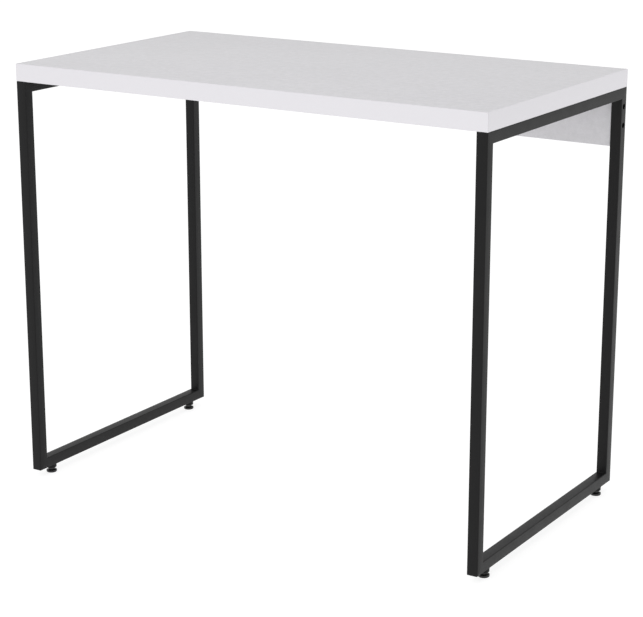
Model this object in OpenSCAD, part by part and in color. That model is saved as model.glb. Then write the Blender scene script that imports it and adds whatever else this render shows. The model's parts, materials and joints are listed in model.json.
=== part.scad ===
// Writing desk: a thick white board on two closed frames of square steel tube,
// a narrow rear panel bolted between the rear uprights, four levelling glides.
// Origin on the floor under the middle of the desk, front towards -Y, +Z up.

/* [Desk] */
// Overall width, left to right
desk_w = 900; // [700:10:1200]
// Overall depth, front to rear
desk_d = 500; // [400:10:700]
// Height of the work surface above the floor
desk_h = 745; // [700:5:780]

/* [Top] */
// Thickness of the top
top_t = 30; // [28:1:40]
// Thickness of the edge bands on the boards
band_t = 1; // [0.6:0.2:2]

/* [End frames] */
// Side of the square tube
tube = 19; // [19:1:25]
// Wall of the square tube
tube_wall = 1.2; // [1:0.1:1.4]
// Outside corner radius of the square tube
tube_r = 1.5; // [1.5:0.1:2.5]

/* [Rear panel] */
// Height of the panel under the top, with its edge band
panel_h = 100; // [90:5:250]
// Thickness of the panel
panel_t = 15; // [12:1:18]

/* [Fasteners] */
// Screws that hold the top to each top rail
screws_per_rail = 3; // [2:1:5]
// Diameter of the wood screws
screw_d = 4.5; // [4:0.5:5]
// Diameter of the panel bolts
bolt_d = 5; // [4:1:6]
// Pitch of the two panel bolts, and depth of the upper one below the top
bolt_pitch = 32; // [25:1:36]
// Hole in the outer wall of a tube that lets a fastener's head in
access_d = 9.4; // [9:0.2:11]

/* [Glides] */
// Middle of a glide from the front or rear face of the desk
glide_inset = 40; // [30:5:100]
// Diameter of the threaded boss under the rail
boss_d = 18; // [14:1:19]
// Height of the threaded boss
boss_h = 6; // [4:1:8]
// Diameter of the glide's stud
stud_d = 6; // [6:1:8]
// Width across the flats of the stud's hexagon
hex_af = 10; // [10:1:13]
// Height of the stud's hexagon
hex_h = 3; // [3:0.5:5]
// Diameter of the pad
pad_d = 19; // [18:1:19]
// Height of the pad
pad_h = 6; // [6:0.5:8]
// How far a glide screws out
glide_travel = 10; // [5:1:10]

/* [Hidden] */
$fn = 64;
eps = 0.01;                                // lets a cutter pass a face
fit = 0.05;                                // radial gap of a close fit
play = 0.1;                                // gap of a loose, snapped-in fit
frame_z0 = pad_h + hex_h + boss_h;         // underside of the bottom rails
frame_z1 = desk_h - top_t;                 // top of the top rails
frame_h = frame_z1 - frame_z0;
frame_x = desk_w / 2 - tube / 2;           // middle of a frame, from the middle of the desk
upright_y = desk_d / 2 - tube / 2;         // middle of an upright
inner_x = desk_w / 2 - tube;               // inner face of a frame
band_r = band_t;                           // rounding of an edge band's corners
head_d = access_d - 0.9;                   // head of a screw or bolt
screw_l = 25;                              // wood screw under its head
screw_tip = 5;                             // its tapered end
screw_head_h = 3;
screw_head_r = 1;                          // bevel round the head
recess_w = 5;                              // cross recess in the head
recess_arm = 1.1;
recess_depth = 1.6;
screw_end_gap = 60;                        // outermost screw from the frame's end
bolt_l = 35;                               // panel bolt under its head
bolt_head_h = 5;
bolt_key = 4;                              // hexagon socket, across flats
bolt_key_depth = 2.6;
nut_d = 10;                                // barrel nut
nut_l = 12;
nut_in = 25;                               // middle of the nut from the panel's end
panel_top_z = frame_z1;                    // top edge of the panel
boss_hole_d = stud_d + 1;                  // hole in a rail's lower wall over a boss
boss_bevel = 0.5;
ball_r = 4;                                // button on the stud's foot, held in the pad
ball_h = 2.6;
ball_z = 1.9;                              // its underside above the floor
neck_r = 2.6;                              // between the button and the hexagon
sole_in = 1.5;                             // the pad's flat sole lies inside its rim by this
rim_z0 = 1.6;                              // widest part of the pad, from here
rim_z1 = 4.2;                              // to here
crown_in = 4;                              // the pad's top lies inside its rim by this
stud_top = frame_z0 + glide_travel + 1;    // top of a stud with its glide fully home

// Height of a panel bolt above the floor: i = 0 is the upper one
function bolt_z(i) = panel_top_z - bolt_pitch * (i + 1);

// Place of a top screw along its rail, from the middle of the desk
function screw_y(i) = (desk_d - 2 * screw_end_gap) * (i / (screws_per_rail - 1) - 0.5);

// ---- Shapes used more than once ----

// Square with round corners, centred
module round_square(side, r) {
    square([side - 2 * r, side], center = true);
    square([side, side - 2 * r], center = true);
    for (x = [-1, 1], y = [-1, 1]) {
        translate([x * (side / 2 - r), y * (side / 2 - r)]) circle(r);
    }
}

// Hollow square tube along +Z, mitred at both ends, with its long side towards -Y
module mitred_tube(length) {
    intersection() {
        linear_extrude(length) difference() {
            round_square(tube, tube_r);
            round_square(tube - 2 * tube_wall, tube_r - tube_wall);
        }
        rotate([90, 0, 90]) linear_extrude(tube + 2, center = true) {
            polygon([[-tube / 2, 0], [tube / 2, tube], [tube / 2, length - tube], [-tube / 2, length]]);
        }
    }
}

// Strip of edge band along +X, its glued face on y = 0 and its outer face at y = -band_t
module edge_band(length, height) {
    rotate([90, 0, 90]) linear_extrude(length) {
        translate([-band_t, band_r]) square([band_t, height - 2 * band_r]);
        for (z = [band_r, height - band_r]) {
            intersection() {
                translate([0, z]) circle(band_r);
                translate([-band_t, z - band_r]) square([band_t, 2 * band_r]);
            }
        }
    }
}

// Cylinder along the X axis, from the origin towards +X
module rod_x(r, length) {
    rotate([0, 90, 0]) cylinder(r = r, h = length);
}

// ---- Top ----

// Board between its edge bands, with pilot holes for the screws in its underside
module top_board() {
    color("whitesmoke") difference() {
        translate([-desk_w / 2 + band_t, -desk_d / 2 + band_t, frame_z1]) {
            cube([desk_w - 2 * band_t, desk_d - 2 * band_t, top_t]);
        }
        for (side = [-1, 1], i = [0 : screws_per_rail - 1]) {
            translate([side * frame_x, screw_y(i), frame_z1 - eps]) {
                cylinder(r = screw_d / 2 + fit, h = screw_l);
            }
        }
    }
}

// The long bands run past the ends of the short ones
module top_long_edge_band(side) {
    color("white") rotate([0, 0, side < 0 ? 0 : 180]) {
        translate([-desk_w / 2, -desk_d / 2 + band_t, frame_z1]) edge_band(desk_w, top_t);
    }
}

module top_short_edge_band(side) {
    color("white") rotate([0, 0, side < 0 ? -90 : 90]) {
        translate([-desk_d / 2 + band_t, -desk_w / 2 + band_t, frame_z1]) {
            edge_band(desk_d - 2 * band_t, top_t);
        }
    }
}

// ---- End frames, side = -1 for the left one and 1 for the right one ----

// Top rail, with holes that let each screw's head in from below and its shank out above
module top_rail(side) {
    color("dimgray") difference() {
        translate([side * frame_x, -desk_d / 2, frame_z1 - tube / 2]) {
            rotate([-90, 0, 0]) mitred_tube(desk_d);
        }
        for (i = [0 : screws_per_rail - 1]) translate([side * frame_x, screw_y(i), 0]) {
            translate([0, 0, frame_z1 - tube - 1]) cylinder(d = access_d, h = tube_wall + 2);
            translate([0, 0, frame_z1 - tube_wall - 1]) {
                cylinder(r = screw_d / 2 + fit, h = tube_wall + 2);
            }
        }
    }
}

// Bottom rail, with a hole over each threaded boss
module bottom_rail(side) {
    color("dimgray") difference() {
        translate([side * frame_x, desk_d / 2, frame_z0 + tube / 2]) {
            rotate([90, 0, 0]) mitred_tube(desk_d);
        }
        for (end = [-1, 1]) translate([side * frame_x, end * (desk_d / 2 - glide_inset), frame_z0 - 1]) {
            cylinder(d = boss_hole_d, h = tube_wall + 2);
        }
    }
}

module front_upright(side) {
    color("dimgray") translate([side * frame_x, -upright_y, frame_z0]) mitred_tube(frame_h);
}

// Rear upright, with holes for the panel bolts: wide in the outer wall, close in the inner one
module rear_upright(side) {
    color("dimgray") difference() {
        translate([side * frame_x, upright_y, frame_z0]) rotate([0, 0, 180]) mitred_tube(frame_h);
        for (i = [0, 1]) translate([0, upright_y, bolt_z(i)]) rotate([0, 0, side < 0 ? 180 : 0]) {
            translate([desk_w / 2 - tube_wall - 1, 0, 0]) rod_x(access_d / 2, tube_wall + 2);
            translate([inner_x - 1, 0, 0]) rod_x(bolt_d / 2 + play, tube_wall + 2);
        }
    }
}

// ---- Rear panel ----

// Panel between the rear uprights, drilled for the bolts and their barrel nuts
module rear_panel() {
    color("gainsboro") difference() {
        translate([-inner_x, upright_y - panel_t / 2, panel_top_z - panel_h + band_t]) {
            cube([2 * inner_x, panel_t, panel_h - band_t]);
        }
        for (turn = [0, 180], i = [0, 1]) translate([0, upright_y, bolt_z(i)]) rotate([0, 0, turn]) {
            translate([inner_x - bolt_l, 0, 0]) rod_x(bolt_d / 2 + 2 * play, bolt_l + 1);
        }
        for (end = [-1, 1], i = [0, 1]) {
            translate([end * (inner_x - nut_in), upright_y + panel_t / 2 + 1, bolt_z(i)]) {
                rotate([90, 0, 0]) cylinder(r = nut_d / 2 + fit, h = nut_l + 2);
            }
        }
    }
}

// Band on the panel's lower edge
module rear_panel_edge_band() {
    color("white") translate([-inner_x, upright_y - panel_t / 2, panel_top_z - panel_h + band_t]) {
        rotate([90, 0, 0]) mirror([0, 0, 1]) edge_band(2 * inner_x, panel_t);
    }
}

// ---- Fasteners ----

// Wood screw along +Z, the underside of its head on z = 0
module wood_screw() {
    difference() {
        rotate_extrude() polygon([
            [0, -screw_head_h], [head_d / 2 - screw_head_r, -screw_head_h],
            [head_d / 2, -screw_head_h + screw_head_r], [head_d / 2, 0], [screw_d / 2, 0],
            [screw_d / 2, screw_l - screw_tip], [0, screw_l]
        ]);
        for (turn = [0, 90]) rotate([0, 0, turn]) translate([0, 0, -screw_head_h]) {
            cube([recess_w, recess_arm, 2 * recess_depth], center = true);
        }
    }
}

// Screws whose heads bear on the inside of a top rail's upper wall
module top_screws(side) {
    color("silver") for (i = [0 : screws_per_rail - 1]) {
        translate([side * frame_x, screw_y(i), frame_z1 - tube_wall]) wood_screw();
    }
}

// Cap screw along -X, the underside of its head on x = 0
module panel_bolt() {
    translate([-bolt_l, 0, 0]) rod_x(bolt_d / 2, bolt_l + eps);
    difference() {
        rod_x(head_d / 2, bolt_head_h);
        translate([bolt_head_h - bolt_key_depth, 0, 0]) rotate([0, 90, 0]) {
            cylinder(d = bolt_key / cos(30), h = bolt_key_depth + 1, $fn = 6);
        }
    }
}

// Bolts whose heads bear on the inside of a rear upright's inner wall
module panel_bolts(side) {
    color("dimgray") for (i = [0, 1]) rotate([0, 0, side < 0 ? 180 : 0]) {
        translate([inner_x + tube_wall, side * upright_y, bolt_z(i)]) panel_bolt();
    }
}

// Barrel nuts in the rear face of the panel
module panel_nuts(side) {
    color("silver") for (i = [0, 1]) {
        translate([side * (inner_x - nut_in), upright_y + panel_t / 2, bolt_z(i)]) difference() {
            rotate([90, 0, 0]) cylinder(d = nut_d, h = nut_l);
            translate([-nut_d, -panel_t / 2, 0]) rod_x(bolt_d / 2 + fit, 2 * nut_d);
        }
    }
}

// ---- Glides, sx = -1 left or 1 right, sy = -1 front or 1 rear ----

module at_glide(sx, sy) {
    translate([sx * frame_x, sy * (desk_d / 2 - glide_inset), 0]) children();
}

// Threaded boss welded under the bottom rail
module boss(sx, sy) {
    color("dimgray") at_glide(sx, sy) difference() {
        rotate_extrude() polygon([
            [0, frame_z0 - boss_h], [boss_d / 2 - boss_bevel, frame_z0 - boss_h],
            [boss_d / 2, frame_z0 - boss_h + boss_bevel], [boss_d / 2, frame_z0], [0, frame_z0]
        ]);
        translate([0, 0, frame_z0 - boss_h - 1]) cylinder(r = stud_d / 2 + fit, h = boss_h + 2);
    }
}

// Stud with a hexagon for a spanner and a button foot that turns in the pad
module stud(sx, sy) {
    color("silver") at_glide(sx, sy) {
        translate([0, 0, ball_z]) cylinder(r = ball_r, h = ball_h);
        translate([0, 0, ball_z + ball_h - eps]) cylinder(r = neck_r, h = pad_h - ball_z - ball_h + 2 * eps);
        translate([0, 0, pad_h]) cylinder(d = hex_af / cos(30), h = hex_h, $fn = 6);
        translate([0, 0, pad_h + hex_h - eps]) cylinder(d = stud_d, h = stud_top - pad_h - hex_h);
    }
}

// Pad with a sloping top, hollow where it holds the stud's button
module pad(sx, sy) {
    color("black") at_glide(sx, sy) difference() {
        rotate_extrude() polygon([
            [0, 0], [pad_d / 2 - sole_in, 0], [pad_d / 2, rim_z0], [pad_d / 2, rim_z1],
            [pad_d / 2 - crown_in, pad_h - play], [0, pad_h - play]
        ]);
        translate([0, 0, ball_z - play]) cylinder(r = ball_r + play, h = ball_h + 2 * play);
        translate([0, 0, ball_z]) cylinder(r = neck_r + play, h = pad_h);
    }
}

// ---- Draw ----

top_board();
top_long_edge_band(-1);  // top_front_edge_band
top_long_edge_band(1);  // top_rear_edge_band
top_short_edge_band(-1);  // top_left_edge_band
top_short_edge_band(1);  // top_right_edge_band
top_rail(-1);  // left_top_rail
bottom_rail(-1);  // left_bottom_rail
front_upright(-1);  // left_front_upright
rear_upright(-1);  // left_rear_upright
top_rail(1);  // right_top_rail
bottom_rail(1);  // right_bottom_rail
front_upright(1);  // right_front_upright
rear_upright(1);  // right_rear_upright
rear_panel();
rear_panel_edge_band();
top_screws(-1);  // left_top_screws
top_screws(1);  // right_top_screws
panel_bolts(-1);  // left_panel_bolts
panel_bolts(1);  // right_panel_bolts
panel_nuts(-1);  // left_panel_nuts
panel_nuts(1);  // right_panel_nuts
boss(-1, -1);  // front_left_boss
boss(1, -1);  // front_right_boss
boss(-1, 1);  // rear_left_boss
boss(1, 1);  // rear_right_boss
stud(-1, -1);  // front_left_stud
stud(1, -1);  // front_right_stud
stud(-1, 1);  // rear_left_stud
stud(1, 1);  // rear_right_stud
pad(-1, -1);  // front_left_pad
pad(1, -1);  // front_right_pad
pad(-1, 1);  // rear_left_pad
pad(1, 1);  // rear_right_pad
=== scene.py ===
import json
import math

import bpy
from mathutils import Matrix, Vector


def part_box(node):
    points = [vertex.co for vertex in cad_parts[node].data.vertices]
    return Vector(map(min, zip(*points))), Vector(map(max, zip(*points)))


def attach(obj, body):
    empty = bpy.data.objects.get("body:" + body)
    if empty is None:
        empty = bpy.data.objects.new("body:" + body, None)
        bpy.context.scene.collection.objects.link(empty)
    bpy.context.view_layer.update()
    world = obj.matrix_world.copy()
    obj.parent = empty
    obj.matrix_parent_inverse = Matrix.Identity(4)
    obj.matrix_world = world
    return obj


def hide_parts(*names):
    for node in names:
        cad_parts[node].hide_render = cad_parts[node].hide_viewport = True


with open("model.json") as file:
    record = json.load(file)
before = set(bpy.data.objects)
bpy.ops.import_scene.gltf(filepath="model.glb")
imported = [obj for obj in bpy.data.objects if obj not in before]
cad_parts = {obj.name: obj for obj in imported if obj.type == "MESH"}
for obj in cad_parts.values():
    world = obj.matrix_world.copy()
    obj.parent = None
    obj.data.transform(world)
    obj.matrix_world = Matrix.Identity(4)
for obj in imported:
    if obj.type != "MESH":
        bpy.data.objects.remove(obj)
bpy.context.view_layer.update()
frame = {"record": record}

mm = 0.001
record = frame["record"]
slotOf = {part["node"]: part["material_slot"] for part in record["subparts"]}
bodyOf = {node: body for body, nodes in record["behaviour"]["bodies"].items() for node in nodes}
sides = ("left", "right")
corners = ("front_left", "front_right", "rear_left", "rear_right")
alongX = Vector((1, 0, 0))
alongY = Vector((0, 1, 0))
alongZ = Vector((0, 0, 1))
overrun = 1 * mm  # how far a cutter passes the face it cuts
near = 0.01 * mm  # closer than this counts as the same place
mergeLimit = 0.001 * mm  # points this close are merged
cutLimit = 0.0001 * mm  # a cut takes points this close as lying on its plane
nearlyParallel = 0.9  # least cosine between directions that count as the same
smallHoleAround = 32  # sides of a small round hole
threadSmoothing = 30  # edges up to this angle are smooth on threaded pieces


# Selecting and shaping, used by every piece below

def deselectAll():
    bpy.ops.object.select_all(action="DESELECT")


def activate(piece):
    deselectAll()
    piece.select_set(True)
    bpy.context.view_layer.objects.active = piece


def editMode(piece):
    activate(piece)
    bpy.ops.object.mode_set(mode="EDIT")


def objectMode():
    bpy.ops.object.mode_set(mode="OBJECT")


def nameIt(name):
    piece = bpy.context.active_object
    piece.name = name
    piece.data.name = name
    return piece


def pickFaces(piece, wanted):
    editMode(piece)
    bpy.ops.mesh.select_mode(type="FACE")
    bpy.ops.mesh.select_all(action="DESELECT")
    objectMode()
    for face in piece.data.polygons:
        face.select = wanted(face)
    bpy.ops.object.mode_set(mode="EDIT")


def pickEdges(piece, wanted):  # wanted is asked with the places of an edge's two ends
    editMode(piece)
    bpy.ops.mesh.select_mode(type="EDGE")
    bpy.ops.mesh.select_all(action="DESELECT")
    objectMode()
    places = [point.co for point in piece.data.vertices]
    for edge in piece.data.edges:
        edge.select = wanted(places[edge.vertices[0]], places[edge.vertices[1]])
    bpy.ops.object.mode_set(mode="EDIT")


def bevelEdges(piece, wanted, width, steps):
    pickEdges(piece, wanted)
    bpy.ops.mesh.bevel(offset=width, offset_type="OFFSET", segments=steps, affect="EDGES")
    objectMode()


def useModifier(piece, kind, **settings):
    activate(piece)
    modifier = piece.modifiers.new(kind.lower(), kind)
    for setting, value in settings.items():
        setattr(modifier, setting, value)
    bpy.ops.object.modifier_apply(modifier=modifier.name)


def combine(piece, other, operation):  # DIFFERENCE cuts other away, UNION adds it, INTERSECT trims to it
    useModifier(piece, "BOOLEAN", object=other, operation=operation, solver="EXACT")
    bpy.data.objects.remove(other, do_unlink=True)


def joinTo(piece, others):
    deselectAll()
    for other in others:
        other.select_set(True)
    piece.select_set(True)
    bpy.context.view_layer.objects.active = piece
    bpy.ops.object.join()


def addBlock(name, low, high):
    deselectAll()
    bpy.ops.mesh.primitive_cube_add(size=1, location=(low + high) / 2)
    piece = nameIt(name)
    piece.scale = high - low
    bpy.ops.object.transform_apply(location=True, rotation=True, scale=True)
    return piece


def addRod(name, radius, start, finish, around=48, roll=0):
    deselectAll()
    line = finish - start
    aim = line.to_track_quat("Z", "Y").to_euler()
    bpy.ops.mesh.primitive_cylinder_add(vertices=around, radius=radius, depth=line.length)
    piece = nameIt(name)
    piece.rotation_euler = (0, 0, roll)
    bpy.ops.object.transform_apply(location=True, rotation=True, scale=True)
    piece.location = (start + finish) / 2
    piece.rotation_euler = aim
    bpy.ops.object.transform_apply(location=True, rotation=True, scale=True)
    return piece


def arc(centre, radius, start, stop, steps=4):  # points of an arc in radius and height, angles in degrees
    turns = [math.radians(start + (stop - start) * step / steps) for step in range(steps + 1)]
    return [(centre[0] + radius * math.cos(turn), centre[1] + radius * math.sin(turn)) for turn in turns]


def drawOutline(name, outline):  # a line through points of radius and height, in millimetres
    deselectAll()
    bpy.ops.mesh.primitive_plane_add(size=mm)
    piece = nameIt(name)
    points = [Vector((radius * mm, 0, height * mm)) for radius, height in outline]
    bpy.ops.object.mode_set(mode="EDIT")
    bpy.ops.mesh.select_mode(type="VERT")
    bpy.ops.mesh.select_all(action="SELECT")
    bpy.ops.mesh.merge(type="CENTER")
    bpy.ops.transform.translate(value=points[0])
    for last, point in zip(points, points[1:]):
        bpy.ops.mesh.extrude_vertices_move(TRANSFORM_OT_translate={"value": point - last})
    objectMode()
    return piece


def closeUp(piece):  # merges doubled points and points all faces outwards
    editMode(piece)
    bpy.ops.mesh.select_mode(type="VERT")
    bpy.ops.mesh.select_all(action="SELECT")
    bpy.ops.mesh.remove_doubles(threshold=mergeLimit)
    bpy.ops.mesh.normals_make_consistent(inside=False)
    objectMode()


def turnOutline(name, outline, around=64):  # spins the outline round the Z axis
    piece = drawOutline(name, outline)
    editMode(piece)
    bpy.ops.mesh.select_all(action="SELECT")
    bpy.ops.mesh.spin(steps=around, angle=2 * math.pi, center=(0, 0, 0), axis=(0, 0, 1))
    objectMode()
    closeUp(piece)
    return piece


def windThread(name, crest, pitch, depth, low, high, around=28):  # all in millimetres
    root = crest - depth
    start = low - 1.37 * pitch  # so that no point of the thread lies on a cut
    oneTurn = ((0, root), (0.125, root), (0.4375, crest), (0.5625, crest), (0.875, root), (1, root))
    piece = drawOutline(name, [(radius, start + part * pitch) for part, radius in oneTurn])
    turns = int((high - low) / pitch) + 4  # some to spare past both ends
    useModifier(piece, "SCREW", angle=2 * math.pi, screw_offset=pitch * mm, iterations=turns,
                steps=around, render_steps=around)
    closeUp(piece)
    for height, below in ((low, True), (high, False)):
        editMode(piece)
        bpy.ops.mesh.select_all(action="SELECT")
        bpy.ops.mesh.bisect(plane_co=(0, 0, height * mm), plane_no=(0, 0, 1), use_fill=True,
                            clear_inner=below, clear_outer=not below, threshold=cutLimit)
        objectMode()
    closeUp(piece)
    return piece


def copyPiece(master, name, place, turn=(0, 0, 0)):
    activate(master)
    bpy.ops.object.duplicate(linked=False)
    piece = nameIt(name)
    piece.location = place
    piece.rotation_euler = turn
    bpy.ops.object.transform_apply(location=True, rotation=True, scale=True)
    return piece


def discard(piece):
    bpy.data.objects.remove(piece, do_unlink=True)


# Materials. A pattern is its scale, detail and roughness. At a scale of 1000 a feature is about 1 mm wide.

def newMaterial(name):
    material = bpy.data.materials.new(name)
    material.use_nodes = True
    nodes = material.node_tree.nodes
    return material, nodes, material.node_tree.links, nodes["Principled BSDF"]


def addNoise(nodes, links, pattern, stretch=(1, 1, 1)):
    place = nodes.new("ShaderNodeTexCoord")
    mapping = nodes.new("ShaderNodeMapping")
    mapping.inputs["Scale"].default_value = stretch
    noise = nodes.new("ShaderNodeTexNoise")
    for setting, value in zip(("Scale", "Detail", "Roughness"), pattern):
        noise.inputs[setting].default_value = value
    links.new(place.outputs["Object"], mapping.inputs["Vector"])
    links.new(mapping.outputs["Vector"], noise.inputs["Vector"])
    return noise.outputs["Fac"]


def addCells(nodes, links, scale):
    place = nodes.new("ShaderNodeTexCoord")
    cells = nodes.new("ShaderNodeTexVoronoi")
    cells.inputs["Scale"].default_value = scale
    links.new(place.outputs["Object"], cells.inputs["Vector"])
    return cells.outputs["Distance"]


def multiply(nodes, links, first, second):  # one colour darkened by another
    mix = nodes.new("ShaderNodeMix")
    mix.data_type = "RGBA"
    mix.blend_type = "MULTIPLY"
    entries = {entry.identifier: entry for entry in mix.inputs}
    entries["Factor_Float"].default_value = 1
    links.new(first, entries["A_Color"])
    links.new(second, entries["B_Color"])
    return next(entry for entry in mix.outputs if entry.identifier == "Result_Color")


def ramp(nodes, links, factor, low, high, start=0.35, stop=0.65):
    spread = nodes.new("ShaderNodeValToRGB")
    first, last = spread.color_ramp.elements
    first.position, last.position = start, stop
    first.color, last.color = (*low, 1), (*high, 1)
    links.new(factor, spread.inputs["Fac"])
    return spread.outputs["Color"]


def spreadValue(nodes, links, factor, low, high, start=0.3, stop=0.7):
    spread = nodes.new("ShaderNodeMapRange")
    spread.inputs["From Min"].default_value = start
    spread.inputs["From Max"].default_value = stop
    spread.inputs["To Min"].default_value = low
    spread.inputs["To Max"].default_value = high
    links.new(factor, spread.inputs["Value"])
    return spread.outputs["Result"]


def addBump(nodes, links, height, depth, strength, under=None):
    bump = nodes.new("ShaderNodeBump")
    bump.inputs["Distance"].default_value = depth
    bump.inputs["Strength"].default_value = strength
    links.new(height, bump.inputs["Height"])
    if under is not None:
        links.new(under, bump.inputs["Normal"])
    return bump.outputs["Normal"]


melamine = {
    "shade": (0.670, 0.660, 0.684),
    "light": (0.720, 0.710, 0.734),
    "speckle": (900, 3, 0.65),
    "mottle": (95, 5, 0.7),
    "mottleShade": (0.920, 0.923, 0.920),
    "cloud": (9, 3, 0.5),
    "cloudShade": (0.985, 0.985, 0.985),
    "roughness": (0.38, 0.48),
    "peel": (650, 2, 0.5),
    "peelDepth": 0.05 * mm,
    "peelStrength": 0.5,
    "panelPaintedShadeShare": 0.90,  # painted shade: the rear panel's copy of the top's melamine is this much darker, standing in for the shade under the top
}


def melamineMaterial(name, share=1):
    material, nodes, links, surface = newMaterial(name)
    speckle = addNoise(nodes, links, melamine["speckle"])
    mottle = addNoise(nodes, links, melamine["mottle"])
    cloud = addNoise(nodes, links, melamine["cloud"])
    peel = addNoise(nodes, links, melamine["peel"])
    # a share below 1 makes a darker copy of the melamine; the rear panel's copy uses it as painted shade
    shade, light = [[part * share for part in melamine[tone]] for tone in ("shade", "light")]
    tone = ramp(nodes, links, speckle, shade, light)
    mottled = multiply(nodes, links, tone, ramp(nodes, links, mottle, melamine["mottleShade"], (1, 1, 1)))
    clouded = multiply(nodes, links, mottled, ramp(nodes, links, cloud, melamine["cloudShade"], (1, 1, 1)))
    relief = addBump(nodes, links, peel, melamine["peelDepth"], melamine["peelStrength"])
    links.new(clouded, surface.inputs["Base Color"])
    links.new(spreadValue(nodes, links, peel, *melamine["roughness"]), surface.inputs["Roughness"])
    links.new(relief, surface.inputs["Normal"])
    return material


edging = {
    "shade": (0.690, 0.677, 0.707),
    "light": (0.716, 0.703, 0.733),
    "fine": (1600, 2, 0.5),
    "drawn": (800, 3, 0.55),
    "drawnStretch": (0.06, 0.06, 1),  # the drawn lines run along the band
    "drawnDepth": 0.02 * mm,
    "drawnStrength": 0.4,
    "roughness": (0.34, 0.42),
}


def edgingMaterial():
    material, nodes, links, surface = newMaterial("satinEdging")
    drawn = addNoise(nodes, links, edging["drawn"], edging["drawnStretch"])
    fine = addNoise(nodes, links, edging["fine"])
    relief = addBump(nodes, links, drawn, edging["drawnDepth"], edging["drawnStrength"])
    links.new(ramp(nodes, links, fine, edging["shade"], edging["light"]), surface.inputs["Base Color"])
    links.new(spreadValue(nodes, links, drawn, *edging["roughness"]), surface.inputs["Roughness"])
    links.new(relief, surface.inputs["Normal"])
    return material


powder = {
    "shade": (0.0050, 0.0050, 0.0052),
    "light": (0.0100, 0.0100, 0.0103),
    "fleck": (1400, 3, 0.65),
    "patch": (45, 4, 0.55),
    "patchShade": (0.86, 0.86, 0.86),
    "wave": (260, 2, 0.5),
    "waveDepth": 0.05 * mm,
    "waveStrength": 0.5,
    "grainScale": 1900,
    "grainDepth": 0.10 * mm,
    "grainStrength": 0.35,
    "roughness": (0.38, 0.44),
    "specular": 0.17,
}


def powderMaterial():
    material, nodes, links, surface = newMaterial("blackPowderCoat")
    surface.inputs["Specular IOR Level"].default_value = powder["specular"]
    fleck = addNoise(nodes, links, powder["fleck"])
    patch = addNoise(nodes, links, powder["patch"])
    wave = addNoise(nodes, links, powder["wave"])
    grain = addCells(nodes, links, powder["grainScale"])
    tone = ramp(nodes, links, fleck, powder["shade"], powder["light"])
    patched = multiply(nodes, links, tone, ramp(nodes, links, patch, powder["patchShade"], (1, 1, 1)))
    flow = addBump(nodes, links, wave, powder["waveDepth"], powder["waveStrength"])
    relief = addBump(nodes, links, grain, powder["grainDepth"], powder["grainStrength"], flow)
    links.new(patched, surface.inputs["Base Color"])
    links.new(spreadValue(nodes, links, patch, *powder["roughness"]), surface.inputs["Roughness"])
    links.new(relief, surface.inputs["Normal"])
    return material


zinc = {
    "shade": (0.43, 0.44, 0.46),
    "light": (0.58, 0.59, 0.62),
    "haze": (420, 4, 0.6),
    "roughness": (0.22, 0.40),
    "relief": (2600, 2, 0.5),
    "reliefStretch": (0.1, 1, 1),
    "reliefDepth": 0.01 * mm,
    "reliefStrength": 0.4,
    "specular": 0.5,
    "metallic": 1,
}
oxide = {
    "shade": (0.005, 0.005, 0.0055),
    "light": (0.013, 0.013, 0.0135),
    "haze": (600, 4, 0.6),
    "roughness": (0.28, 0.42),
    "relief": (2200, 2, 0.5),
    "reliefStretch": (1, 1, 1),
    "reliefDepth": 0.02 * mm,
    "reliefStrength": 0.4,
    "specular": 0.65,
    "metallic": 0,
}
moulding = {
    "shade": (0.0035, 0.0035, 0.004),
    "light": (0.0065, 0.0065, 0.007),
    "haze": (500, 3, 0.6),
    "roughness": (0.16, 0.28),
    "relief": (1500, 2, 0.5),
    "reliefStretch": (1, 1, 1),
    "reliefDepth": 0.015 * mm,
    "reliefStrength": 0.3,
    "specular": 0.5,
    "metallic": 0,
}


def hazyMaterial(name, look):  # zinc, oxide and moulded plastic: a haze in tone and gloss, and a fine relief
    material, nodes, links, surface = newMaterial(name)
    surface.inputs["Metallic"].default_value = look["metallic"]
    surface.inputs["Specular IOR Level"].default_value = look["specular"]
    haze = addNoise(nodes, links, look["haze"])
    fine = addNoise(nodes, links, look["relief"], look["reliefStretch"])
    relief = addBump(nodes, links, fine, look["reliefDepth"], look["reliefStrength"])
    links.new(ramp(nodes, links, haze, look["shade"], look["light"]), surface.inputs["Base Color"])
    links.new(spreadValue(nodes, links, haze, *look["roughness"]), surface.inputs["Roughness"])
    links.new(relief, surface.inputs["Normal"])
    return material


materials = {
    "white_board": melamineMaterial("whiteMelamine"),
    "white_edging": edgingMaterial(),
    "black_powder_coat": powderMaterial(),
    "zinc_plated_steel": hazyMaterial("zincPlate", zinc),
    "black_oxide_steel": hazyMaterial("blackOxide", oxide),
    "black_plastic": hazyMaterial("padPlastic", moulding),
}
# painted shade: a darker copy of the top's melamine for the rear panel, standing in for the shade it sits in
# under the top
paintedShadePanelMelamine = melamineMaterial("paintedShadePanelMelamine", melamine["panelPaintedShadeShare"])
print("materials made")


def outwardOf(side):
    return 1 if side == "right" else -1


def finishPiece(piece, node, degrees=35, material=None):
    activate(piece)
    bpy.ops.object.shade_smooth_by_angle(angle=math.radians(degrees))
    piece.data.materials.clear()
    piece.data.materials.append(material or materials[slotOf[node]])
    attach(piece, bodyOf[node])
    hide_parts(node)


# Top board, its edges eased where they meet the bands

topBoard = {
    "edgeEase": 0.15 * mm,
    "easeSteps": 2,
    "screwsPerRail": 3,
    "pilotRadius": 2.3 * mm,
    "pilotDepth": 25 * mm,
}


def screwPlaces(side):  # middles of the top screws' heads
    low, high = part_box(f"{side}_top_screws")
    middle = (low.x + high.x) / 2
    headRadius = (high.x - low.x) / 2
    count = topBoard["screwsPerRail"]
    gap = (high.y - low.y - 2 * headRadius) / (count - 1)
    return [Vector((middle, low.y + headRadius + gap * step, low.z)) for step in range(count)]


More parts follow.
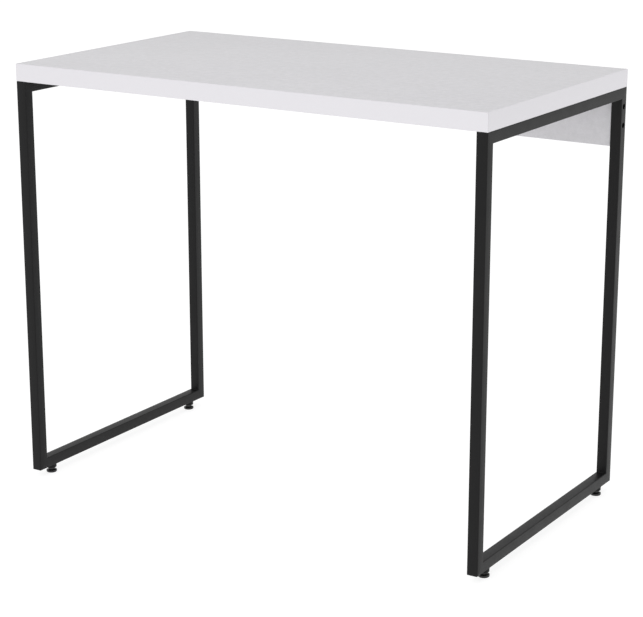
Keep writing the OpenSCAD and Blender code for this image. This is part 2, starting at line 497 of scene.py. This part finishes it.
def makeTopBoard():
    low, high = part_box("top_board")
    board = addBlock("topBoard", low, high)
    bevelEdges(board, lambda start, end: True, topBoard["edgeEase"], topBoard["easeSteps"])
    for side in sides:
        for place in screwPlaces(side):
            mouth = Vector((place.x, place.y, low.z - overrun))
            bottom = mouth + alongZ * (topBoard["pilotDepth"] + overrun)
            pilot = addRod("pilot", topBoard["pilotRadius"], mouth, bottom, smallHoleAround)
            combine(board, pilot, "DIFFERENCE")
    finishPiece(board, "top_board")


# Edge bands: strips with rounded long edges and trimmed ends

edgeBand = {
    "roundShare": 0.94,  # of the band's thickness
    "roundSteps": 6,
    "endEase": 0.15 * mm,
}


def makeEdgeBand(name, node, outwards):
    low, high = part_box(node)
    size = high - low
    thin = max(range(3), key=lambda axis: abs(outwards[axis]))
    long = max(range(3), key=lambda axis: size[axis])
    outer = high[thin] if outwards[thin] > 0 else low[thin]
    band = addBlock(name, low, high)

    def outerLongEdge(start, end):
        onOuter = abs(start[thin] - outer) < near and abs(end[thin] - outer) < near
        return onOuter and abs(start[long] - end[long]) > size[long] / 2

    bevelEdges(band, outerLongEdge, size[thin] * edgeBand["roundShare"], edgeBand["roundSteps"])

    def endEdge(start, end):
        atLow = abs(start[long] - low[long]) < near and abs(end[long] - low[long]) < near
        atHigh = abs(start[long] - high[long]) < near and abs(end[long] - high[long]) < near
        return atLow or atHigh

    bevelEdges(band, endEdge, edgeBand["endEase"], 1)
    finishPiece(band, node)


makeTopBoard()
makeEdgeBand("topFrontEdgeBand", "top_front_edge_band", -alongY)
makeEdgeBand("topRearEdgeBand", "top_rear_edge_band", alongY)
makeEdgeBand("topLeftEdgeBand", "top_left_edge_band", -alongX)
makeEdgeBand("topRightEdgeBand", "top_right_edge_band", alongX)
print("top made")


# Steel frames: hollow mitred tubes, with a weld bead in each inner corner

tube = {
    "wall": 1.2 * mm,
    "cornerRadius": 1.5 * mm,
    "cornerSteps": 6,
    "accessRadius": 4.7 * mm,
    "screwHoleRadius": 2.3 * mm,
    "boltHoleRadius": 2.6 * mm,
    "bossHoleRadius": 3.5 * mm,
}
bead = {
    "radius": 1.5 * mm,
    "around": 14,
    "sunk": 0.35 * mm,
    "rings": 15,
    "rippleShare": 0.86,  # thickness of every other ring
    "endShare": 0.55,
}


def makeTube(name, node, along, inwards):
    low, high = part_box(node)
    piece = addBlock(name, low - along * overrun, high + along * overrun)
    bevelEdges(piece, lambda start, end: abs((end - start).normalized().dot(along)) > nearlyParallel,
               tube["cornerRadius"], tube["cornerSteps"])
    pickFaces(piece, lambda face: abs(face.normal.dot(along)) > nearlyParallel)
    bpy.ops.mesh.delete(type="FACE")
    objectMode()
    useModifier(piece, "SOLIDIFY", thickness=tube["wall"], offset=-1, use_rim=False, use_even_offset=True)
    outerCorner = low if sum(inwards) > 0 else high
    for end in (-1, 1):  # cut both mitres, then close the wall's ends
        tip = high if end > 0 else low
        corner = Vector(outerCorner)
        for axis in range(3):
            if along[axis]:
                corner[axis] = tip[axis]
        slope = (inwards + end * along).normalized()
        editMode(piece)
        bpy.ops.mesh.select_all(action="SELECT")
        bpy.ops.mesh.bisect(plane_co=corner, plane_no=slope, clear_outer=True, threshold=cutLimit)
        objectMode()
        pickEdges(piece, lambda start, finish: abs((start - corner).dot(slope)) < mergeLimit
                  and abs((finish - corner).dot(slope)) < mergeLimit)
        bpy.ops.mesh.bridge_edge_loops()
        objectMode()
    closeUp(piece)
    return piece


def makeBead(length):  # a rippled weld bead along X, its middle at the origin
    half = alongX * (length / 2)
    piece = addRod("weldBead", bead["radius"], -half, half, bead["around"])
    pickEdges(piece, lambda start, end: abs(start.x - end.x) > length / 2)
    bpy.ops.mesh.subdivide(number_cuts=bead["rings"])
    objectMode()
    step = length / (bead["rings"] + 1)
    for ring in range(bead["rings"] + 2):
        place = -length / 2 + ring * step
        atEnd = ring in (0, bead["rings"] + 1)
        share = bead["endShare"] if atEnd else (bead["rippleShare"] if ring % 2 else 1)
        pickEdges(piece, lambda start, end: max(abs(start.x - place), abs(end.x - place)) < step / 4)
        bpy.ops.transform.resize(value=(1, share, share), center_override=(place, 0, 0))
        objectMode()
    return piece


def addBeads(upright, node, beadMaster, inwards):
    low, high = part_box(node)
    width = high.x - low.x
    face = high.y if inwards.y > 0 else low.y
    inset = inwards * -bead["sunk"]
    beads = []
    for height, up in ((low.z + width, 1), (high.z - width, -1)):
        place = Vector(((low.x + high.x) / 2, face, height)) + inset - alongZ * (up * bead["sunk"])
        beads.append(copyPiece(beadMaster, "bead", place))
    joinTo(upright, beads)


def boltHeights():
    low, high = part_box("right_panel_bolts")
    headRadius = (high.y - low.y) / 2
    return low.z + headRadius, high.z - headRadius


def glidePlaces(side):
    places = []
    for corner in corners:
        if corner.endswith(side):
            low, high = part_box(f"{corner}_boss")
            places.append((low + high) / 2)
    return places


def makeFrame(side, beadMaster):
    outwards = outwardOf(side)
    throughWall = tube["wall"] + 2 * overrun
    top = makeTube(f"{side}TopRail", f"{side}_top_rail", alongY, -alongZ)
    low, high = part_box(f"{side}_top_rail")
    for place in screwPlaces(side):
        below = Vector((place.x, place.y, low.z - overrun))
        above = Vector((place.x, place.y, high.z + overrun))
        access = addRod("access", tube["accessRadius"], below, below + alongZ * throughWall)
        combine(top, access, "DIFFERENCE")
        hole = addRod("hole", tube["screwHoleRadius"], above - alongZ * throughWall, above, smallHoleAround)
        combine(top, hole, "DIFFERENCE")
    finishPiece(top, f"{side}_top_rail")

    bottom = makeTube(f"{side}BottomRail", f"{side}_bottom_rail", alongY, alongZ)
    low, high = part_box(f"{side}_bottom_rail")
    for place in glidePlaces(side):
        below = Vector((place.x, place.y, low.z - overrun))
        hole = addRod("hole", tube["bossHoleRadius"], below, below + alongZ * throughWall)
        combine(bottom, hole, "DIFFERENCE")
    finishPiece(bottom, f"{side}_bottom_rail")

    front = makeTube(f"{side}FrontUpright", f"{side}_front_upright", alongZ, alongY)
    addBeads(front, f"{side}_front_upright", beadMaster, alongY)
    finishPiece(front, f"{side}_front_upright")

    rear = makeTube(f"{side}RearUpright", f"{side}_rear_upright", alongZ, -alongY)
    low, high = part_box(f"{side}_rear_upright")
    middle = (low.y + high.y) / 2
    outerFace = high.x if outwards > 0 else low.x
    innerFace = low.x if outwards > 0 else high.x
    for height in boltHeights():
        outer = Vector((outerFace + outwards * overrun, middle, height))
        inner = Vector((innerFace - outwards * overrun, middle, height))
        reach = alongX * (outwards * throughWall)
        access = addRod("access", tube["accessRadius"], outer - reach, outer)
        combine(rear, access, "DIFFERENCE")
        hole = addRod("hole", tube["boltHoleRadius"], inner, inner + reach, smallHoleAround)
        combine(rear, hole, "DIFFERENCE")
    addBeads(rear, f"{side}_rear_upright", beadMaster, -alongY)
    finishPiece(rear, f"{side}_rear_upright")


uprightLow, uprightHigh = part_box("left_front_upright")
weldBead = makeBead(uprightHigh.x - uprightLow.x - 2 * tube["cornerRadius"])
for side in sides:
    makeFrame(side, weldBead)
discard(weldBead)
print("frames made")


# Rear panel, bored from its ends for the bolts and from behind for the barrel nuts

rearPanel = {
    "edgeEase": 0.15 * mm,
    "easeSteps": 2,
    "boreRadius": 2.7 * mm,
    "boreDepth": 35 * mm,
    "nutHoleRadius": 5.05 * mm,
    "nutHoleDepth": 13 * mm,
}


def makeRearPanel():
    low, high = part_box("rear_panel")
    panel = addBlock("rearPanel", low, high)
    bevelEdges(panel, lambda start, end: True, rearPanel["edgeEase"], rearPanel["easeSteps"])
    middle = (low.y + high.y) / 2
    for side in sides:
        outwards = outwardOf(side)
        end = high.x if outwards > 0 else low.x
        nutLow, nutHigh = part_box(f"{side}_panel_nuts")
        for height in boltHeights():
            mouth = Vector((end + outwards * overrun, middle, height))
            bottom = Vector((end - outwards * rearPanel["boreDepth"], middle, height))
            bore = addRod("bore", rearPanel["boreRadius"], mouth, bottom, smallHoleAround)
            combine(panel, bore, "DIFFERENCE")
            mouth = Vector(((nutLow.x + nutHigh.x) / 2, high.y + overrun, height))
            bottom = mouth - alongY * (rearPanel["nutHoleDepth"] + overrun)
            nutHole = addRod("nutHole", rearPanel["nutHoleRadius"], mouth, bottom)
            combine(panel, nutHole, "DIFFERENCE")
    # the panel takes the darker melamine copy, which is painted shade
    finishPiece(panel, "rear_panel", material=paintedShadePanelMelamine)


def makePanelBand():
    low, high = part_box("rear_panel_edge_band")
    band = addBlock("rearPanelEdgeBand", low, high)

    def lowerLongEdge(start, end):
        return max(start.z, end.z) < low.z + near and abs(start.x - end.x) > near

    bevelEdges(band, lowerLongEdge, (high.z - low.z) * edgeBand["roundShare"], edgeBand["roundSteps"])
    finishPiece(band, "rear_panel_edge_band")


makeRearPanel()
makePanelBand()
print("rear panel made")


# Wood screws that hold the top: pan head with a cross recess, coarse thread, point

woodScrew = {
    "headRadius": 4.25,
    "headHeight": 3.0,
    "flatRadius": 2.15,  # flat top of the head
    "crownRound": 2.1,
    "crownTurn": 72,
    "crownSteps": 7,
    "rimHeight": 0.7,
    "rimEase": 0.2,
    "threadRadius": 2.25,
    "threadDepth": 0.72,
    "threadSunk": 0.5,  # how far the thread runs into the head
    "pitch": 1.8,
    "length": 25.0,
    "tip": 5.0,
    "tipShort": 0.05,
    "crossWidth": 5.0,
    "crossArm": 1.1,
    "crossDepth": 1.6,
    "crossTaper": (0.45, 0.7, 1),  # the recess narrows towards its bottom
}
threadClear = 0.1  # a thread is trimmed by an outline that clears its crests by this


def makeWoodScrew():  # in millimetres, along +Z, the underside of its head on z = 0
    shape = woodScrew
    top = -shape["headHeight"]
    rim, ease = shape["headRadius"], shape["rimEase"]
    flat, crown = shape["flatRadius"], shape["crownRound"]
    head = [(0, top), (flat, top)]
    head += arc((flat, top + crown), crown, 270, 270 + shape["crownTurn"], shape["crownSteps"])
    head += [(rim, -shape["rimHeight"]), (rim, -ease), (rim - ease, 0), (0, 0)]
    screw = turnOutline("woodScrew", head)
    halfWidth, halfArm = shape["crossWidth"] / 2, shape["crossArm"] / 2
    for turn in (0, 90):
        cross = addBlock("cross", Vector((-halfWidth, -halfArm, top - 1)) * mm,
                         Vector((halfWidth, halfArm, top + shape["crossDepth"])) * mm)
        pickFaces(cross, lambda face: face.normal.z > nearlyParallel)
        bpy.ops.transform.resize(value=shape["crossTaper"], center_override=(0, 0, 0))
        objectMode()
        cross.rotation_euler = (0, 0, math.radians(turn))
        activate(cross)
        bpy.ops.object.transform_apply(location=True, rotation=True, scale=True)
        combine(screw, cross, "DIFFERENCE")
    start = -shape["threadSunk"]
    crest = shape["threadRadius"] + threadClear
    thread = windThread("thread", shape["threadRadius"], shape["pitch"], shape["threadDepth"],
                        start - threadClear, shape["length"])
    point = turnOutline("point", [(0, start), (crest, start), (crest, shape["length"] - shape["tip"]),
                                  (0, shape["length"] - shape["tipShort"])])
    combine(thread, point, "INTERSECT")
    combine(screw, thread, "UNION")
    return screw


screwMaster = makeWoodScrew()
for side in sides:
    low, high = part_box(f"{side}_top_screws")
    for order, place in zip(("Front", "Middle", "Rear"), screwPlaces(side)):
        seat = Vector((place.x, place.y, low.z + woodScrew["headHeight"] * mm))
        screw = copyPiece(screwMaster, f"{side}TopScrew{order}", seat)
        finishPiece(screw, f"{side}_top_screws", threadSmoothing)
discard(screwMaster)
print("top screws made")


# Cap screws that draw the panel to the uprights, and their barrel nuts

panelBolt = {
    "headRadius": 4.25,
    "headHeight": 5.0,
    "headEase": 0.5,
    "headSteps": 5,
    "footEase": 0.25,
    "fillet": 0.2,
    "socketFlats": 4.0,
    "socketDepth": 2.6,
    "socketLead": 0.3,
    "shankRadius": 2.3,
    "plainLength": 13.0,
    "threadRadius": 2.48,
    "threadDepth": 0.49,
    "threadSunk": 0.2,  # how far the thread runs into the plain shank
    "pitch": 0.8,
    "length": 35.0,
    "tipInset": 0.6,
    "tipHeight": 0.7,
}
threadSpare = 0.5  # a thread is wound this much longer than it is kept


def cornerOf(flats):  # radius of a hexagon's corners from its width across flats
    return flats / 2 / math.cos(math.pi / 6)


def makePanelBolt():  # in millimetres, along -Z, the underside of its head on z = 0
    shape = panelBolt
    top, ease, rim = shape["headHeight"], shape["headEase"], shape["headRadius"]
    foot, fillet, shank = shape["footEase"], shape["fillet"], shape["shankRadius"]
    head = [(0, top), (rim - ease, top)]
    head += arc((rim - ease, top - ease), ease, 90, 0, shape["headSteps"])
    head += [(rim, foot), (rim - foot, 0)]
    head += arc((shank + fillet, -fillet), fillet, 90, 180)
    head += [(shank, -shape["plainLength"]), (0, -shape["plainLength"])]
    bolt = turnOutline("panelBolt", head)
    across = cornerOf(shape["socketFlats"])
    socketLow = alongZ * ((top - shape["socketDepth"]) * mm)
    socket = addRod("socket", across * mm, socketLow, alongZ * (top * mm + overrun), 6)
    combine(bolt, socket, "DIFFERENCE")
    leadTop = top + shape["socketLead"]
    lead = turnOutline("lead", [(0, top - across), (across + shape["socketLead"], leadTop), (0, leadTop)])
    combine(bolt, lead, "DIFFERENCE")
    end, start = -shape["length"], -shape["plainLength"]
    crest = shape["threadRadius"] + threadClear
    thread = windThread("thread", shape["threadRadius"], shape["pitch"], shape["threadDepth"],
                        end - threadSpare, start + threadSpare)
    tip = turnOutline("tip", [
        (0, end), (shape["threadRadius"] - shape["tipInset"], end), (crest, end + shape["tipHeight"]),
        (crest, start + shape["threadSunk"]), (0, start + shape["threadSunk"])])
    combine(thread, tip, "INTERSECT")
    combine(bolt, thread, "UNION")
    return bolt


barrelNut = {
    "radius": 5.0,
    "length": 12.0,
    "ease": 0.4,
    "slotWidth": 1.4,
    "slotDepth": 1.6,
    "boreRadius": 2.55,
    "boreFromFace": 7.5,
}


def makeBarrelNut():  # in millimetres, along Z, its slotted outer end on z = 0
    shape = barrelNut
    rim, ease, end = shape["radius"], shape["ease"], -shape["length"]
    nut = turnOutline("barrelNut", [(0, 0), (rim - ease, 0), (rim, -ease), (rim, end + ease),
                                    (rim - ease, end), (0, end)])
    depth = alongZ * (-shape["boreFromFace"] * mm)
    reach = alongX * (rim * mm + overrun)
    bore = addRod("bore", shape["boreRadius"] * mm, depth - reach, depth + reach, smallHoleAround)
    combine(nut, bore, "DIFFERENCE")
    slotEnd = Vector((rim + 1, shape["slotWidth"] / 2, 1)) * mm
    slotStart = Vector((-slotEnd.x, -slotEnd.y, -shape["slotDepth"] * mm))
    combine(nut, addBlock("slot", slotStart, slotEnd), "DIFFERENCE")
    return nut


boltMaster = makePanelBolt()
nutMaster = makeBarrelNut()
for side in sides:
    outwards = outwardOf(side)
    low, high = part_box(f"{side}_panel_bolts")
    headEnd = high.x if outwards > 0 else low.x
    seat = headEnd - outwards * panelBolt["headHeight"] * mm
    nutLow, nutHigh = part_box(f"{side}_panel_nuts")
    for order, height in zip(("Lower", "Upper"), boltHeights()):
        place = Vector((seat, (low.y + high.y) / 2, height))
        bolt = copyPiece(boltMaster, f"{side}PanelBolt{order}", place, (0, math.radians(90 * outwards), 0))
        finishPiece(bolt, f"{side}_panel_bolts", threadSmoothing)
        place = Vector(((nutLow.x + nutHigh.x) / 2, nutHigh.y, height))
        nut = copyPiece(nutMaster, f"{side}PanelNut{order}", place, (math.radians(-90), 0, 0))
        finishPiece(nut, f"{side}_panel_nuts", threadSmoothing)
discard(boltMaster)
discard(nutMaster)
print("panel fasteners made")


# Glides: a boss welded under the rail, a threaded stud with a spanner hexagon, a snapped-on pad

boss = {
    "radius": 9.0,
    "height": 6.0,
    "ease": 0.5,
    "boreRadius": 3.05,
    "boreLead": 0.5,
    "beadRadius": 0.9,
    "beadDrop": 0.3,
    "beadAngle": 84,
    "beadAround": 12,
    "beadSteps": 18,
}


def makeBoss():  # in millimetres, its upper face on z = 0
    shape = boss
    low, rim, ease = -shape["height"], shape["radius"], shape["ease"]
    bore, lead = shape["boreRadius"], shape["boreLead"]
    outline = [(bore, 0), (rim, 0), (rim, low + ease)]
    outline += arc((rim - ease, low + ease), ease, 0, -90)[1:]
    outline += [(bore + lead, low), (bore, low + lead), (bore, 0)]
    piece = turnOutline("boss", outline)
    beads = []
    for turn in (90, -90):  # weld beads at the front and the rear, where the boss meets the rail's flat
        deselectAll()
        bpy.ops.mesh.primitive_circle_add(vertices=shape["beadAround"], radius=shape["beadRadius"] * mm,
                                          location=(rim * mm, 0, -shape["beadDrop"] * mm),
                                          rotation=(math.pi / 2, 0, 0))
        weld = nameIt("weld")
        bpy.ops.object.transform_apply(location=True, rotation=True, scale=True)
        editMode(weld)
        bpy.ops.mesh.select_all(action="SELECT")
        bpy.ops.mesh.spin(steps=shape["beadSteps"], angle=math.radians(shape["beadAngle"]), center=(0, 0, 0),
                          axis=(0, 0, 1))
        bpy.ops.mesh.select_all(action="SELECT")
        bpy.ops.mesh.fill_holes(sides=shape["beadAround"])
        objectMode()
        closeUp(weld)
        weld.rotation_euler = (0, 0, math.radians(turn + shape["beadAngle"] / 2))
        activate(weld)
        bpy.ops.object.transform_apply(location=True, rotation=True, scale=True)
        beads.append(weld)
    joinTo(piece, beads)
    return piece


stud = {
    "buttonRadius": 4.0,
    "buttonLow": 1.9,
    "buttonHigh": 4.5,
    "buttonEase": 0.5,
    "neckRadius": 2.6,
    "neckSunk": 0.3,  # how far the neck runs into the hexagon
    "hexLow": 6.0,
    "hexHigh": 9.0,
    "hexFlats": 10.0,
    "hexEase": 0.45,
    "hexFlatInset": 0.1,
    "domeAround": 96,
    "threadRadius": 2.98,
    "threadDepth": 0.61,
    "threadStart": 8.0,  # wound from here, inside the hexagon
    "threadSunk": 0.6,  # how far it is kept below the hexagon's top
    "pitch": 1.0,
    "top": 26.0,
    "tipInset": 0.7,
    "tipHeight": 0.8,
}


def makeStud():  # in millimetres, upright, the floor on z = 0
    shape = stud
    ease, button, neck = shape["buttonEase"], shape["buttonRadius"], shape["neckRadius"]
    hexLow, hexHigh, top = shape["hexLow"], shape["hexHigh"], shape["top"]
    foot = [(0, shape["buttonLow"]), (button - ease, shape["buttonLow"])]
    foot += arc((button - ease, shape["buttonLow"] + ease), ease, -90, 0)[1:]
    foot += [(button, shape["buttonHigh"]), (neck, shape["buttonHigh"]), (neck, hexLow + shape["neckSunk"]),
             (0, hexLow + shape["neckSunk"])]
    piece = turnOutline("stud", foot)
    across = cornerOf(shape["hexFlats"])
    hexagon = addRod("hexagon", across * mm, alongZ * (hexLow * mm), alongZ * (hexHigh * mm), 6,
                     math.radians(30))
    flat = shape["hexFlats"] / 2 - shape["hexFlatInset"]
    wide = across + threadClear
    past = 0.01  # the dome passes the hexagon's ends by this
    side = (wide, hexLow + shape["hexEase"]), (wide, hexHigh - shape["hexEase"])
    dome = turnOutline("dome", [(0, hexLow - past), (flat, hexLow - past), *side, (flat, hexHigh + past),
                                (0, hexHigh + past)], shape["domeAround"])
    combine(hexagon, dome, "INTERSECT")
    combine(piece, hexagon, "UNION")
    start = hexHigh - shape["threadSunk"]
    crest = shape["threadRadius"] + threadClear
    thread = windThread("thread", shape["threadRadius"], shape["pitch"], shape["threadDepth"],
                        shape["threadStart"], top + threadSpare)
    tip = turnOutline("tip", [(0, start), (crest, start), (crest, top - shape["tipHeight"]),
                              (shape["threadRadius"] - shape["tipInset"], top), (0, top)])
    combine(thread, tip, "INTERSECT")
    combine(piece, thread, "UNION")
    return piece


pad = {
    "radius": 9.5,
    "height": 5.9,
    "soleRadius": 8.0,
    "soleEase": 0.3,
    "soleRing": 6.4,  # inside it the sole is hollowed a little
    "soleSunk": 0.35,
    "soleBevel": 0.2,
    "rimLow": 1.6,
    "rimRound": 1.6,
    "rimRoundTurn": 80,
    "rimRoundSteps": 8,
    "rimHigh": 4.2,
    "rimEase": 0.5,
    "rimEaseTurn": 52,
    "crownRadius": 5.5,
    "crown": ((0.9, -0.75), (0.35, -0.6), (0.25, -0.2), (-0.05, 0)),  # out from crownRadius, up from height
    "neckRadius": 2.7,
    "neckEase": 0.3,
    "cavityRadius": 4.1,
    "cavityLow": 1.8,
    "cavityHigh": 4.6,
    "around": 72,
}


def makePad():  # in millimetres, the floor on z = 0, hollow where it holds the stud's button
    shape = pad
    rim, top, neck, neckEase = shape["radius"], shape["height"], shape["neckRadius"], shape["neckEase"]
    rimRound, rimEase = shape["rimRound"], shape["rimEase"]
    outline = [(0, shape["soleSunk"]), (shape["soleRing"], shape["soleSunk"]),
               (shape["soleRing"] + shape["soleBevel"], 0), (shape["soleRadius"] - shape["soleEase"], 0)]
    outline += arc((rim - rimRound, shape["rimLow"]), rimRound, -shape["rimRoundTurn"], 0,
                   shape["rimRoundSteps"])
    outline += [(rim, shape["rimHigh"] - rimEase)]
    outline += arc((rim - rimEase, shape["rimHigh"] - rimEase), rimEase, 0, shape["rimEaseTurn"])[1:]
    outline += [(shape["crownRadius"] + out, top + up) for out, up in shape["crown"]]
    outline += [(neck + neckEase, top), (neck, top - neckEase), (neck, shape["cavityHigh"])]
    outline += [(shape["cavityRadius"], shape["cavityHigh"]), (shape["cavityRadius"], shape["cavityLow"]),
                (0, shape["cavityLow"])]
    return turnOutline("pad", outline, shape["around"])


bossMaster = makeBoss()
studMaster = makeStud()
padMaster = makePad()
for corner in corners:
    end, side = corner.split("_")
    low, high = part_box(f"{corner}_boss")
    middle = (low + high) / 2
    label = end + side.capitalize()
    underRail = Vector((middle.x, middle.y, high.z))
    onFloor = Vector((middle.x, middle.y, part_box(f"{corner}_pad")[0].z))
    finishPiece(copyPiece(bossMaster, f"{label}Boss", underRail), f"{corner}_boss")
    finishPiece(copyPiece(studMaster, f"{label}Stud", onFloor), f"{corner}_stud", threadSmoothing)
    finishPiece(copyPiece(padMaster, f"{label}Pad", onFloor), f"{corner}_pad")
for master in (bossMaster, studMaster, padMaster):
    discard(master)
print("glides made")


# Floor, light and camera

floor = {
    "reach": 15.0,
    "thickness": 30 * mm,
    "tone": 0.34,
    "glow": 0.79,
    "roughness": 0.9,
    "specular": 0,
}


def makeFloor():  # one slab under each glide: it goes down with its pad, as an uneven floor would
    material, nodes, links, surface = newMaterial("paleFloor")
    surface.inputs["Base Color"].default_value = (floor["tone"], floor["tone"], floor["tone"], 1)
    surface.inputs["Roughness"].default_value = floor["roughness"]
    surface.inputs["Specular IOR Level"].default_value = floor["specular"]
    surface.inputs["Emission Color"].default_value = (1, 1, 1, 1)
    surface.inputs["Emission Strength"].default_value = floor["glow"]
    reach, thickness = floor["reach"], floor["thickness"]
    for corner in corners:
        end, side = corner.split("_")
        low = Vector((-reach if side == "left" else 0, -reach if end == "front" else 0, -thickness))
        high = low + Vector((reach, reach, thickness))
        slab = addBlock(f"{end}{side.capitalize()}Floor", low, high)
        slab.data.materials.append(material)
        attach(slab, bodyOf[f"{corner}_pad"])


sky = {
    "horizonStrength": 1.0,
    "zenithStrength": 0.80,
    "fadeHeight": 0.5,  # of a direction's upward part, where the zenith's strength is reached
}


def makeSky():
    world = bpy.data.worlds.new("studioSky")
    bpy.context.scene.world = world
    world.use_nodes = True
    nodes, links = world.node_tree.nodes, world.node_tree.links
    background = nodes["Background"]
    background.inputs["Color"].default_value = (1, 1, 1, 1)
    direction = nodes.new("ShaderNodeTexCoord")
    split = nodes.new("ShaderNodeSeparateXYZ")
    links.new(direction.outputs["Generated"], split.inputs["Vector"])
    fade = spreadValue(nodes, links, split.outputs["Z"], sky["horizonStrength"], sky["zenithStrength"],
                       0, sky["fadeHeight"])
    links.new(fade, background.inputs["Strength"])


softboxes = {
    "frontBox": {"place": (0.35, -2.95, 2.9), "target": (0, 0, 0.6), "size": (1.8, 1.4), "power": 25},
    "rearRightBox": {"place": (1.5, 3.2, 2.2), "target": (0.3, 0, 0.4), "size": (2.5, 2.0), "power": 3.5},
}


def addSoftbox(name, box):
    deselectAll()
    bpy.ops.object.light_add(type="AREA", location=box["place"])
    lamp = bpy.context.active_object
    lamp.name = name
    lamp.data.shape = "RECTANGLE"
    lamp.data.size, lamp.data.size_y = box["size"]
    lamp.data.energy = box["power"]
    lamp.rotation_euler = (Vector(box["target"]) - Vector(box["place"])).to_track_quat("-Z", "Y").to_euler()


view = {
    "place": (1.729, -2.723, 1.2284),
    "turn": 32.34,
    "tiltDown": 15.69,
    "lens": 107.94,
}


def makeCamera():
    camera = bpy.data.objects.new("deskCamera", bpy.data.cameras.new("deskCamera"))
    bpy.context.scene.collection.objects.link(camera)
    camera.location = view["place"]
    camera.rotation_euler = (math.radians(90 - view["tiltDown"]), 0, math.radians(view["turn"]))
    camera.data.lens = view["lens"]
    bpy.context.scene.camera = camera


makeFloor()
makeSky()
for name, box in softboxes.items():
    addSoftbox(name, box)
makeCamera()
bpy.context.scene.view_settings.view_transform = "Standard"
print("floor, light and camera set")
